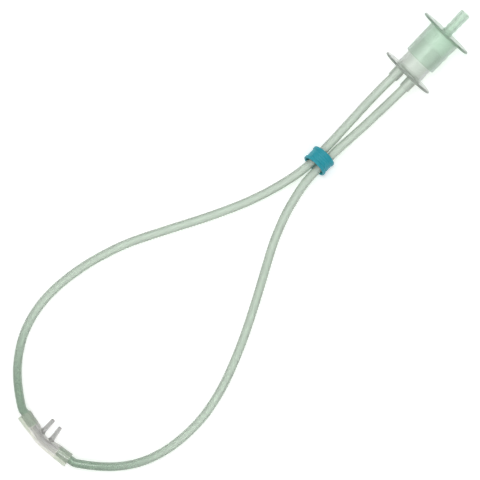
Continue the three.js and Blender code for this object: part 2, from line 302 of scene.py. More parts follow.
class Workshop:
    """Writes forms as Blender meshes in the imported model's place, and joins and cuts them."""

    def __init__(self) -> None:
        """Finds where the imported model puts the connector's socket mouths."""
        low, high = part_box("y_connector")
        self.shift = np.array([(low.x + high.x) / 2, low.y, 0.0])

    def place(self, points: np.ndarray) -> np.ndarray:
        """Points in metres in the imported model's place.

        Args:
            points: an array of points in millimetres, in the set's own layout.

        Returns:
            The same points, moved.
        """
        return np.asarray(points) * MM + self.shift

    def mesh(self, name: str, form: Form) -> bpy.types.Object:
        """A mesh object at the origin with the form's points in its mesh.

        Args:
            name: name of the piece.
            form: its surface, in millimetres.

        Returns:
            The new object.
        """
        data = bpy.data.meshes.new(name)
        data.from_pydata(self.place(form.points).tolist(), [], [f for b in form.faces for f in b.tolist()])
        data.polygons.foreach_set("use_smooth", np.ones(len(data.polygons), dtype=bool))
        if form.lay is not None:
            layer = data.attributes.new("lay", "FLOAT_VECTOR", "POINT")
            layer.data.foreach_set("vector", form.lay.astype(np.float32).ravel())
        data.update()
        thing = bpy.data.objects.new(name, data)
        bpy.context.scene.collection.objects.link(thing)
        return thing

    def settle(self, thing: bpy.types.Object) -> None:
        """Applies a piece's modifiers to its mesh.

        Args:
            thing: the piece.
        """
        graph = bpy.context.evaluated_depsgraph_get()
        old = thing.data
        thing.data = bpy.data.meshes.new_from_object(thing.evaluated_get(graph))
        thing.data.name = thing.name
        thing.modifiers.clear()
        bpy.data.meshes.remove(old)

    def combine(self, thing: bpy.types.Object, form: Form, operation: str) -> None:
        """Joins a form to a piece or cuts it away, with the exact solver.

        Args:
            thing: the piece that is changed.
            form: what is joined or cut away.
            operation: "UNION" or "DIFFERENCE".
        """
        tool = self.mesh("tool", form)
        cut = thing.modifiers.new("cut", "BOOLEAN")
        cut.operation, cut.object, cut.solver = operation, tool, "EXACT"
        self.settle(thing)
        data = tool.data
        bpy.data.objects.remove(tool)
        bpy.data.meshes.remove(data)

    def enter(
        self, thing: bpy.types.Object, node: str, body: Body,
        finish: bpy.types.Material, crease: float,
    ) -> bpy.types.Object:
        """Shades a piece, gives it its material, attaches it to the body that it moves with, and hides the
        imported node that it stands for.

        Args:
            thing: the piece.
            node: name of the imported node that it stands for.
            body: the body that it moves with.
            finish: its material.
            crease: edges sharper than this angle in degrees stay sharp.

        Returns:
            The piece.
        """
        thing.data.polygons.foreach_set("use_smooth", np.ones(len(thing.data.polygons), dtype=bool))
        thing.data.set_sharp_from_angle(angle=math.radians(crease))
        thing.data.materials.append(finish)
        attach(thing, body.value)
        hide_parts(node)
        return thing


# Finishes


class Graph:
    """A short way to write a material's nodes."""

    def __init__(self, name: str) -> None:
        """Starts an empty material with an output node."""
        self.material = bpy.data.materials.new(name)
        self.material.use_nodes = True
        self.tree = self.material.node_tree
        self.tree.nodes.clear()
        self.output = self.add("ShaderNodeOutputMaterial")

    def add(self, kind: str, settings: dict[str, object] | None = None, **inputs: object) -> bpy.types.Node:
        """Adds a node.

        Args:
            kind: the node's type name.
            settings: its properties.
            **inputs: its sockets by name, with _ for a space, or as i and a number, each with a
                value or an output to link.

        Returns:
            The new node.
        """
        node = self.tree.nodes.new(kind)
        for key, value in (settings or {}).items():
            setattr(node, key, value)
        for key, value in inputs.items():
            numbered = key[0] == "i" and key[1:].isdigit()
            socket = node.inputs[int(key[1:]) if numbered else key.replace("_", " ")]
            self.feed(socket, value)
        return node

    def feed(self, socket: bpy.types.NodeSocket, value: object) -> None:
        """Links an output to a socket, or sets the socket's own value.

        Args:
            socket: the socket that is fed.
            value: an output, or a plain value.
        """
        if isinstance(value, bpy.types.NodeSocket):
            self.tree.links.new(value, socket)
        else:
            socket.default_value = value

    def math(self, operation: str, a: object, b: object = 0.0, c: object = 0.0) -> bpy.types.NodeSocket:
        """The output of a Math node."""
        return self.add("ShaderNodeMath", {"operation": operation}, i0=a, i1=b, i2=c).outputs[0]

    def blend(self, factor: object, a: object, b: object) -> bpy.types.NodeSocket:
        """A colour between two colours.

        Args:
            factor: the share of the second colour.
            a: the first colour.
            b: the second colour.

        Returns:
            The output that carries the colour.
        """
        node = self.add("ShaderNodeMix", {"data_type": "RGBA"})
        self.feed(node.inputs[0], factor)
        self.feed(node.inputs[6], a)
        self.feed(node.inputs[7], b)
        return node.outputs[2]

    def between(
        self, value: object, low: float, high: float, to_low: float, to_high: float
    ) -> bpy.types.NodeSocket:
        """A value moved smoothly from one range to another, and held at its ends.

        Args:
            value: what is moved.
            low: start of its range.
            high: end of its range.
            to_low: what comes out at the start.
            to_high: what comes out at the end.

        Returns:
            The output that carries the new value.
        """
        node = self.add(
            "ShaderNodeMapRange", {"interpolation_type": "SMOOTHSTEP"},
            Value=value, From_Min=low, From_Max=high, To_Min=to_low, To_Max=to_high,
        )
        return node.outputs[0]


Colour = tuple[float, float, float, float]

# The part of a noise texture's range in which nearly all its values lie
NOISE_LOW, NOISE_HIGH = 0.35, 0.65

# How a cosine of the way round a tube is read as top or bottom, against its sides, where painted shade darkens a
# tube
SIDE_COSINE, TOP_COSINE = 0.45, 0.95


def shade(red: int, green: int, blue: int) -> Colour:
    """A screen colour of 0 to 255 a channel as the linear colour that a shader takes."""
    linear = [((v / 255 + 0.055) / 1.055) ** 2.4 if v > 10 else v / 255 / 12.92 for v in (red, green, blue)]
    return (linear[0], linear[1], linear[2], 1.0)


@dataclass(frozen=True)
class ClearMoulding:
    """A see-through plastic or soft vinyl, tinted by the depth of material that light crosses."""

    name: str
    surface: Colour
    depth_colour: Colour
    depth_density: float
    shadow: Colour
    roughness: float
    clearness: float
    grain: float = 700.0
    refraction: float = 1.45
    # Painted shade that darkens a tube's two sides
    painted_side_shade: Colour | None = None
    far_surface: Colour | None = None
    far_from: float = 0.0
    far_to: float = 1.0

    def make(self) -> bpy.types.Material:
        """Builds the material: gloss, refraction and a little milkiness.

        A finish with a far surface changes into it along the third number of the piece's `lay`, and one with a
        painted side shade is darkened by painted shade along its two sides, where the first number nears 0.

        Returns:
            The material.
        """
        g = Graph(self.name)
        where = g.add("ShaderNodeTexCoord").outputs["Object"]
        cloud = g.add("ShaderNodeTexNoise", Vector=where, Scale=self.grain, Detail=3.0).outputs["Fac"]
        duller, glossier = self.roughness * 1.2, self.roughness * 0.85
        rough = g.between(cloud, NOISE_LOW, NOISE_HIGH, glossier, duller)
        surface = self.surface
        if self.far_surface:
            lay = g.add("ShaderNodeAttribute", {"attribute_name": "lay"}).outputs["Vector"]
            split = g.add("ShaderNodeSeparateXYZ", Vector=lay)
            # Painted shade: a tube darkens towards its sides, where the cosine round it nears 0
            side = g.between(g.math("ABSOLUTE", split.outputs["X"]), SIDE_COSINE, TOP_COSINE, 1.0, 0.0)
            surface = g.blend(side, surface, self.painted_side_shade or surface)
            far = g.between(split.outputs["Z"], self.far_from, self.far_to, 0.0, 1.0)
            surface = g.blend(far, surface, self.far_surface)
        clear = g.add(
            "ShaderNodeBsdfPrincipled", Base_Color=surface, Roughness=rough, IOR=self.refraction,
            Transmission_Weight=self.clearness,
        )
        passing = g.add("ShaderNodeBsdfTransparent", Color=self.shadow)
        path = g.add("ShaderNodeLightPath")
        mixed = g.add(
            "ShaderNodeMixShader", i0=path.outputs["Is Shadow Ray"], i1=clear.outputs[0], i2=passing.outputs[0],
        )
        g.feed(g.output.inputs["Surface"], mixed.outputs[0])
        depth = g.add("ShaderNodeVolumeAbsorption", Color=self.depth_colour, Density=self.depth_density)
        g.feed(g.output.inputs["Volume"], depth.outputs[0])
        return g.material


@dataclass(frozen=True)
class RingPlastic:
    """Opaque teal plastic with a dull moulded surface, and a painted highlight that makes its high edges a shade
    lighter.
    """

    name: str = "teal_ring_plastic"
    body: Colour = shade(30, 160, 176)
    # Painted highlight that lightens the raised edges
    edge_highlight: Colour = shade(70, 186, 194)
    shaded: Colour = shade(26, 142, 160)
    cloud_scale: float = 900.0
    grain_scale: float = 5200.0
    grain_depth: float = 0.03
    scatter: float = 0.6
    scatter_tint: tuple[float, float, float] = (0.4, 0.9, 1.0)

    def make(self) -> bpy.types.Material:
        """Builds the material: clouded teal, painted highlight on the high edges and a fine grain.

        Returns:
            The material.
        """
        g = Graph(self.name)
        where = g.add("ShaderNodeTexCoord").outputs["Object"]
        cloud = g.add("ShaderNodeTexNoise", Vector=where, Scale=self.cloud_scale, Detail=4.0).outputs["Fac"]
        fine = g.add("ShaderNodeTexNoise", Vector=where, Scale=self.grain_scale, Detail=2.0).outputs["Fac"]
        raised = g.add("ShaderNodeNewGeometry").outputs["Pointiness"]
        # Painted highlight: the raised edges, found by their pointiness, are lightened in patches
        edge = g.between(raised, 0.5, 0.6, 0.0, 0.8)
        mixed = g.blend(g.math("MULTIPLY", edge, cloud), self.body, self.edge_highlight)
        tone = g.blend(g.between(cloud, 0.3, 0.7, 0.0, 0.25), mixed, self.shaded)
        bump = g.add("ShaderNodeBump", Strength=0.25, Distance=self.grain_depth * MM, Height=fine)
        rough = g.between(cloud, 0.3, 0.7, 0.42, 0.55)
        plastic = g.add(
            "ShaderNodeBsdfPrincipled", Base_Color=tone, Roughness=rough, Normal=bump.outputs[0],
            Subsurface_Weight=0.12, Subsurface_Scale=self.scatter * MM,
        )
        plastic.inputs["Subsurface Radius"].default_value = self.scatter_tint
        g.feed(g.output.inputs["Surface"], plastic.outputs[0])
        return g.material


CONNECTOR_FINISH = ClearMoulding(
    name="connector_clear", surface=(0.86, 0.88, 0.855, 1), roughness=0.2, clearness=0.8,
    depth_colour=(0.5, 0.58, 0.5, 1), depth_density=90.0, shadow=(0.9, 0.92, 0.9, 1),
)
ADAPTER_FINISH = ClearMoulding(
    name="adapter_green", surface=(0.8, 0.875, 0.815, 1), roughness=0.22, clearness=0.74,
    depth_colour=(0.4, 0.66, 0.48, 1), depth_density=110.0, shadow=(0.86, 0.93, 0.88, 1),
)
# The tubing's side colour is painted shade, darker on the tube's two sides than on its top and bottom
TUBE_FINISH = ClearMoulding(
    name="tubing_green_vinyl", surface=(0.97, 0.985, 0.97, 1), roughness=0.16, clearness=0.72,
    depth_colour=(0.4, 0.536, 0.4, 1), depth_density=480.0, shadow=(0.85, 0.92, 0.85, 1),
    painted_side_shade=(0.83, 0.86, 0.82, 1), far_surface=(0.6, 0.7, 0.62, 1), far_from=225.0, far_to=290.0,
)
# The nose piece's far colour is painted shade: grey laid on the walls round the gas passage
NOSE_FINISH = ClearMoulding(
    name="nose_piece_soft_clear", surface=(0.95, 0.95, 0.9, 1), roughness=0.13, clearness=0.86,
    depth_colour=(0.5, 0.5, 0.46, 1), depth_density=50.0, shadow=(0.88, 0.88, 0.86, 1),
    far_surface=(0.66, 0.66, 0.655, 1), far_from=0.0, far_to=1.0,
)


# The tubes


@dataclass
class Tube:
    """One green vinyl tube from its seat in the connector to its seat in the nose piece."""

    side: Side
    stops: list[tuple[float, float, float]]
    diameter: float = 4.6
    bore: float = 3.0
    lobes: int = 6
    lobe_depth: float = 0.06
    length: float = 300.0
    step: float = 0.55
    columns: int = 72
    cut_round: float = 0.12
    crease: float = 50.0
    exit_stop: int = 1
    path: np.ndarray = field(init=False)

    def __post_init__(self) -> None:
        """Works out the tube's centre line."""
        self.path = run_through(np.array(self.stops, dtype=float), self.step)

    @property
    def node(self) -> str:
        """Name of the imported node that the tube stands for."""
        return f"tube_{self.side.name.lower()}"

    def form(self) -> Form:
        """The tube's outside and bore as one closed surface.

        Each ring lies in the plane across the centre line at its place p: the point at angle a is
        p + r (u cos a + s sin a), where u is the upward direction with its part along the tube
        taken out, and s = t x u is the sideways one. The rings run down the outside and back up
        the bore, and the cut ends join them. The bore has lobes, r + d cos(n a), which keep such
        tubing open when it is bent, and which show as streaks along it.

        Returns:
            The closed form.
        """
        along = np.concatenate([[0], np.cumsum(np.linalg.norm(np.diff(self.path, axis=0), axis=1))])
        tangent = np.gradient(self.path, along, axis=0)
        tangent /= np.linalg.norm(tangent, axis=1)[:, None]
        up = np.array([0, 0, 1.0]) - tangent * tangent[:, 2:]
        up /= np.linalg.norm(up, axis=1)[:, None]
        sideways = np.cross(tangent, up)
        outer, inner, soft = self.diameter / 2, self.bore / 2, self.cut_round
        count = len(self.path)
        there, back = np.arange(count), np.arange(count)[::-1]
        rows = np.concatenate([[0], there, [count - 1, count - 1], back, [0]])
        skin, bore = np.full(count, outer), np.full(count, inner)
        radius = np.concatenate([[outer - soft], skin, [outer - soft, inner + soft], bore, [inner + soft]])
        in_bore = np.concatenate([np.zeros(count + 2), np.ones(count + 2)])
        shift = np.zeros(len(rows))
        shift[1], shift[count] = soft, -soft
        shift[count + 3], shift[2 * count + 2] = -soft, soft
        angles = even_angles(self.columns)
        lobes = self.lobe_depth * np.cos(self.lobes * angles)
        centre = self.path[rows] + tangent[rows] * shift[:, None]
        ring = (
            up[rows][:, None] * np.cos(angles)[None, :, None]
            + sideways[rows][:, None] * np.sin(angles)[None, :, None]
        )
        points = centre[:, None] + ring * (radius[:, None] + in_bore[:, None] * lobes[None, :])[..., None]
        lay = np.stack([
            np.repeat(np.cos(angles)[None, :], len(rows), 0),
            np.repeat(np.sin(angles)[None, :], len(rows), 0),
            np.repeat(along[rows][:, None], self.columns, 1),
        ], axis=-1)
        faces = [grid_faces(len(rows), self.columns, True)]
        return Form(points.reshape(-1, 3), faces, lay.reshape(-1, 3)).outward()

    def build(
        self, shop: Workshop, finish: bpy.types.Material, carried: list[bpy.types.Object]
    ) -> bpy.types.Object:
        """Args:
            shop: where meshes are written.
            finish: the tube's material.
            carried: the pieces that ride on this tube; not used.

        Returns:
            The tube.
        """
        tube = shop.mesh(f"{self.node}_vinyl", self.form())
        shop.enter(tube, self.node, Body.CANNULA, finish, self.crease)
        return tube


LEFT_STOPS = [
    (-4, 5.7, 14.9), (-4, 0, 14.9), (-4.15, -6, 14.7), (-4.18, -12, 13.85), (-4.08, -20, 11.75),
    (-3.8, -30, 9.95), (-3.45, -40, 9.12), (-3.3, -48, 8.54), (-3.28, -56, 7.97), (-3.5, -62, 7.54),
    (-4.1, -68, 7.1), (-5.25, -74.1, 6.55), (-7.08, -81.58, 5.7), (-9.62, -90.09, 4.65),
    (-12.63, -98.51, 3.7), (-16.11, -106.73, 2.95), (-19.96, -114.92, 2.5), (-23.98, -122.97, 2.38),
    (-32.42, -138.85, 2.35), (-40.69, -154.85, 2.35), (-44.29, -163.02, 2.35), (-47.26, -171.51, 2.35),
    (-49.81, -180.1, 2.35), (-51.71, -188.87, 2.35), (-53, -197.74, 2.35), (-53.56, -206.7, 2.35),
    (-53.07, -215.65, 2.35), (-51.39, -224.39, 2.35), (-48.42, -232.83, 2.35), (-44.09, -240.6, 2.35),
    (-38.71, -247.73, 2.4), (-32.05, -254.13, 2.8), (-25.2, -259.15, 3.75), (-21.9, -261.17, 4.05),
    (-19.35, -261.66, 4.05), (-15.43, -262.41, 4.05), (-11.84, -263.1, 4.05),
]
RIGHT_STOPS = [
    (4, 5.7, 14.9), (4, 0, 14.9), (3.85, -6, 14.7), (3.62, -12, 13.85), (3.3, -20, 11.75),
    (2.83, -30, 9.95), (2.13, -40, 9.12), (1.6, -48, 8.54), (1.48, -56, 7.97), (1.3, -62, 7.54),
    (1.35, -68, 7.1), (2.03, -73.93, 6.55), (3.41, -80.9, 5.76), (5.58, -89.38, 4.71),
    (8.41, -97.58, 3.78), (11.8, -105.86, 3), (15.78, -113.85, 2.54), (19.95, -121.87, 2.39),
    (28.12, -137.89, 2.35), (35.82, -154.2, 2.35), (42.46, -170.9, 2.35), (45.19, -179.52, 2.35),
    (47.27, -188.35, 2.35), (48.62, -197.27, 2.35), (48.92, -206.31, 2.35), (48.35, -215.24, 2.35),
    (46.81, -224.17, 2.35), (44.08, -232.81, 2.35), (40.06, -240.86, 2.35), (34.69, -248.16, 2.4),
    (28.09, -254.6, 2.8), (20.3, -260.45, 3.8), (16.91, -262.45, 4.05), (14.13, -262.83, 4.05),
    (10.16, -263.31, 4.05), (6.54, -263.74, 4.05),
]


# The connector and its adapter


@dataclass(frozen=True)
class Flange:
    """A disc flange with a full-round rim, the same on both mouldings."""

    diameter: float = 29.8
    thickness: float = 1.4
    lower: float = 6.45
    pitch: float = 27.8

    def rim(self, lower_face: float) -> list[tuple[float, float, float]]:
        """Corners round the rim, from the lower face to the upper one."""
        radius, thick = self.diameter / 2, self.thickness
        return [(radius, lower_face, thick / 2), (radius, lower_face + thick, thick / 2)]


@dataclass(frozen=True)
class Cone:
    """The connector's male cone of 1:40 taper."""

    base: float = 15.5
    length: float = 17.3
    taper: float = 1 / 40
    start: float = 7.85

    def radius(self, station: float) -> float:
        """Outside radius at a station."""
        return self.base / 2 - (station - self.start) * self.taper / 2


AXIS_HEIGHT = 14.9
ON_AXIS = Matrix.Translation((0, 0, AXIS_HEIGHT))


@dataclass
class Connector:
    """The clear Y connector: two tube sockets, a flange and a hollow male cone."""

    flange: Flange = field(default_factory=Flange)
    cone: Cone = field(default_factory=Cone)
    wall: float = 1.4
    edge: float = 0.35
    floor: float = 0.5
    root_round: float = 0.5
    socket_spacing: float = 8.0
    socket_radius: float = 2.9
    seat_radius: float = 2.26
    seat_depth: float = 6.0
    gas_bore: float = 3.0
    mouth_round: float = 0.15
    socket_draft: float = 0.04
    fillet: float = 0.35
    fillet_length: float = 0.4
    fillet_round: float = 0.3
    overrun: float = 1.0
    bore_overrun: float = 0.6
    crease: float = 40.0
    columns: int = 144
    socket_columns: int = 96
    bore_columns: int = 64

    def body(self) -> Form:
        """The flange and the hollow cone turned about the axis.

        Returns:
            The closed form.
        """
        base = self.cone.start
        tip = base + self.cone.length
        hollow = base + self.floor
        r = self.cone.radius
        corners = [
            (0, self.flange.lower, 0), *self.flange.rim(self.flange.lower),
            (r(base), base, self.root_round), (r(tip), tip, self.edge),
            (r(tip) - self.wall, tip, self.edge),
            (r(hollow) - self.wall, hollow, self.root_round), (0, hollow, 0),
        ]
        return turned(softened(corners, closed=False), even_angles(self.columns))

    def socket(self, x: float) -> Form:
        """One tube socket, with a rounded mouth and a small fillet where it meets the flange.

        Args:
            x: how far it is from the axis.

        Returns:
            The closed form.
        """
        low, r, wide = self.flange.lower, self.socket_radius, self.socket_radius + self.fillet
        corners = [
            (0, 0, 0), (r, 0, self.mouth_round),
            (r + self.socket_draft, low - self.fillet_length, self.fillet_round),
            (wide, low, self.fillet_round), (wide, low + self.fillet_length, 0), (0, low + self.fillet_length, 0),
        ]
        form = turned(softened(corners, closed=False), even_angles(self.socket_columns))
        return form.moved(Matrix.Translation((x, 0, 0)))

    def build(self, shop: Workshop, finish: bpy.types.Material) -> bpy.types.Object:
        """Makes the connector: turned body, sockets joined, seats and gas bores cut.

        Args:
            shop: where meshes are written.
            finish: the connector's material.

        Returns:
            The connector.
        """
        piece = shop.mesh("y_connector_moulding", self.body().moved(ON_AXIS))
        half = self.socket_spacing / 2
        for x in (-half, half):
            shop.combine(piece, self.socket(x).moved(ON_AXIS), "UNION")
        bore_end = self.cone.start + self.floor + self.bore_overrun
        for x in (-half, half):
            seat = rod(self.seat_radius, -self.overrun, self.seat_depth, x=x)
            bore = rod(self.gas_bore / 2, -self.overrun, bore_end, x=x, sides=self.bore_columns)
            for cutter in (seat, bore):
                shop.combine(piece, cutter.moved(ON_AXIS), "DIFFERENCE")
        return shop.enter(piece, "y_connector", Body.CANNULA, finish, self.crease)


@dataclass
class HoseAdapter:
    """The green adapter: a cup over the cone, a flange and a barbed hose nipple."""

    flange: Flange = field(default_factory=Flange)
    cone: Cone = field(default_factory=Cone)
    cup_length: float = 18.5
    cup_diameter: float = 18.4
    cup_draft: float = 0.2
    cup_edge: float = 0.4
    cup_floor: float = 33.85
    seat_gap: float = 0.12
    nipple_length: float = 13.6
    nipple_diameter: float = 5.2
    nipple_bore: float = 3.0
    barb_height: float = 0.3
    barb_starts: tuple[float, ...] = (3.5, 7.1)
    barb_rise: float = 1.3
    barb_crest: float = 0.55
    barb_back: float = 0.75
    barb_fall: float = 0.03
    collar_length: float = 0.8
    collar_slope: float = 0.3
    tip_section: float = 4.4
    tip_rise: float = 0.9
    tip_fall: float = 0.05
    small_round: float = 0.15
    large_round: float = 0.3
    mark_station: float = 31.4
    mark_angle: float = -0.34
    mark_radius: float = 1.25
    mark_height: float = 0.2
    mark_ring_width: float = 0.18
    mark_dot_width: float = 0.3
    mark_reach: float = 2.0
    mark_lines: int = 36
    crease: float = 50.0
    columns: int = 150

    def outline(self) -> np.ndarray:
        """The closed outline, from the cup's lip up the outside, round the flange and the barbs.

        Returns:
            An array of radius and station pairs.
        """
        upper = self.flange.lower + self.flange.pitch
        base = upper + self.flange.thickness
        lip = upper - self.cup_length
        tip = base + self.nipple_length
        radius = self.nipple_diameter / 2
        crest = radius + self.barb_height
        cup = self.cup_diameter / 2
        small, large = self.small_round, self.large_round
        corners = [
            (self.cone.radius(lip) + self.seat_gap + 0.1, lip, small),
            (cup - self.cup_draft, lip, self.cup_edge), (cup, upper, 0.35), *self.flange.rim(upper),
            (crest, base, large), (crest, base + self.collar_length, small),
            (radius, base + self.collar_length + self.collar_slope, small),
        ]
        for start in self.barb_starts:
            y = base + start
            corners += [
                (radius, y - self.barb_rise, large), (crest, y, small),
                (crest - self.barb_fall, y + self.barb_crest, 0.1), (radius, y + self.barb_back, small),
            ]
        step = tip - self.tip_section
        corners += [
            (radius, step - self.tip_rise, 0.2), (crest, step, small), (crest - self.tip_fall, tip, large),
            (self.nipple_bore / 2, tip, small), (self.nipple_bore / 2, self.cup_floor, large),
            (self.cone.radius(self.cup_floor) + self.seat_gap, self.cup_floor, 0.4),
        ]
        return softened(corners, closed=True, step=0.45)

    def build(self, shop: Workshop, finish: bpy.types.Material) -> bpy.types.Object:
        """Makes the adapter, with a small round gate mark raised on the cup.

        The mark is a ring of height h exp(-((d - R) / w)^2) at distance d from its centre, with a
        dot in the middle, on columns and rows set close together there.

        Args:
            shop: where meshes are written.
            finish: the adapter's material.

        Returns:
            The adapter.
        """
        outline, mark, reach, cup = self.outline(), self.mark_station, self.mark_reach, self.cup_diameter / 2
        near = np.linspace(mark - 0.95 * reach, mark + 0.95 * reach, self.mark_lines)
        cup_rows = (np.abs(outline[:, 1] - mark) < reach) & (outline[:, 0] > cup - 0.5)
        spots = np.nonzero(cup_rows)[0]
        wall = np.stack([np.interp(near, outline[spots, 1], outline[spots, 0]), near], axis=-1)
        outline = np.vstack([outline[: spots[0]], wall, outline[spots[-1] + 1:]])
        first, last = self.mark_angle - reach / cup, self.mark_angle + reach / cup
        fine = np.linspace(first, last, self.mark_lines)
        rest = np.linspace(last, first + 2 * np.pi, self.columns + 1)[1:-1]
        angles = np.concatenate([fine, rest])
        away_y = outline[:, 1:] - mark
        distance = np.hypot(away_y, (angles[None, :] - self.mark_angle) * cup)
        on_cup = (outline[:, :1] > cup - 0.5) & (np.abs(away_y) < reach)
        ring = np.exp(-(((distance - self.mark_radius) / self.mark_ring_width) ** 2))
        dot = np.exp(-((distance / self.mark_dot_width) ** 2))
        form = turned(outline, angles, np.where(on_cup, self.mark_height * (ring + dot), 0.0)).moved(ON_AXIS)
        piece = shop.mesh("hose_adapter_moulding", form)
        return shop.enter(piece, "hose_adapter", Body.ADAPTER, finish, self.crease)


# The slide ring


@dataclass
class SlideRing:
    """The teal ring that slides on both tubes: raised rims, a waist, and rows of short ribs on it."""

    length: float = 8.2
    diameter: float = 13.6
    wall: float = 1.15
    waist_depth: float = 0.45
    rim: float = 1.5
    mouth_round: float = 0.7
    rib_rows: int = 3
    rib_height: float = 0.2
    rib_width: float = 0.2
    rib_gaps: int = 9
    rib_shift: float = 2.1
    edge_round: float = 0.45
    rim_round: float = 0.25
    rim_slope: float = 0.35
    crease: float = 60.0
    centre: tuple[float, float, float] = (-1.12, -57.55, 7.95)
    pitch: float = 22.0
    yaw: float = 0.5
    columns: int = 216

    def build(self, shop: Workshop, finish: bpy.types.Material) -> bpy.types.Object:
        """Makes the ring, whose ribs rise by h exp(-(dy / w)^2) times a soft square wave round it.

        Args:
            shop: where meshes are written.
            finish: the ring's material.

        Returns:
            The ring.
        """
        outer, half = self.diameter / 2, self.length / 2
        inner, waist = outer - self.wall, outer - self.waist_depth
        soft, foot = self.rim_round, self.rim + self.rim_slope
        corners = [
            (inner, -half, self.mouth_round), (outer, -half, self.edge_round), (outer, -half + self.rim, soft),
            (waist, -half + foot, soft), (waist, half - foot, soft),
            (outer, half - self.rim, soft), (outer, half, self.edge_round), (inner, half, self.mouth_round),
        ]
        outline = softened(corners, closed=True, step=0.14)
        angles = even_angles(self.columns)
        pitch = (self.length - 2 * self.rim) / (self.rib_rows + 1)
        rows = -half + self.rim + pitch * np.arange(1, self.rib_rows + 1)
        lines = np.exp(-(((outline[:, 1:] - rows[None, :]) / self.rib_width) ** 2))
        wave = np.stack([np.cos(self.rib_gaps * angles + n * self.rib_shift) for n in range(self.rib_rows)])
        dashes = np.clip(0.55 + 1.6 * wave, 0, 1)
        outside = outline[:, 0] > waist - 0.1
        swell = np.where(outside[:, None], self.rib_height * (lines @ dashes), 0.0)
        place = (
            Matrix.Translation(self.centre)
            @ Matrix.Rotation(math.radians(self.yaw), 4, "Z")
            @ Matrix.Rotation(math.radians(-self.pitch), 4, "X")
        )
        piece = shop.mesh("slide_ring_moulding", turned(outline, angles, swell).moved(place))
        return shop.enter(piece, "slide_ring", Body.RING, finish, self.crease)


# The nose piece


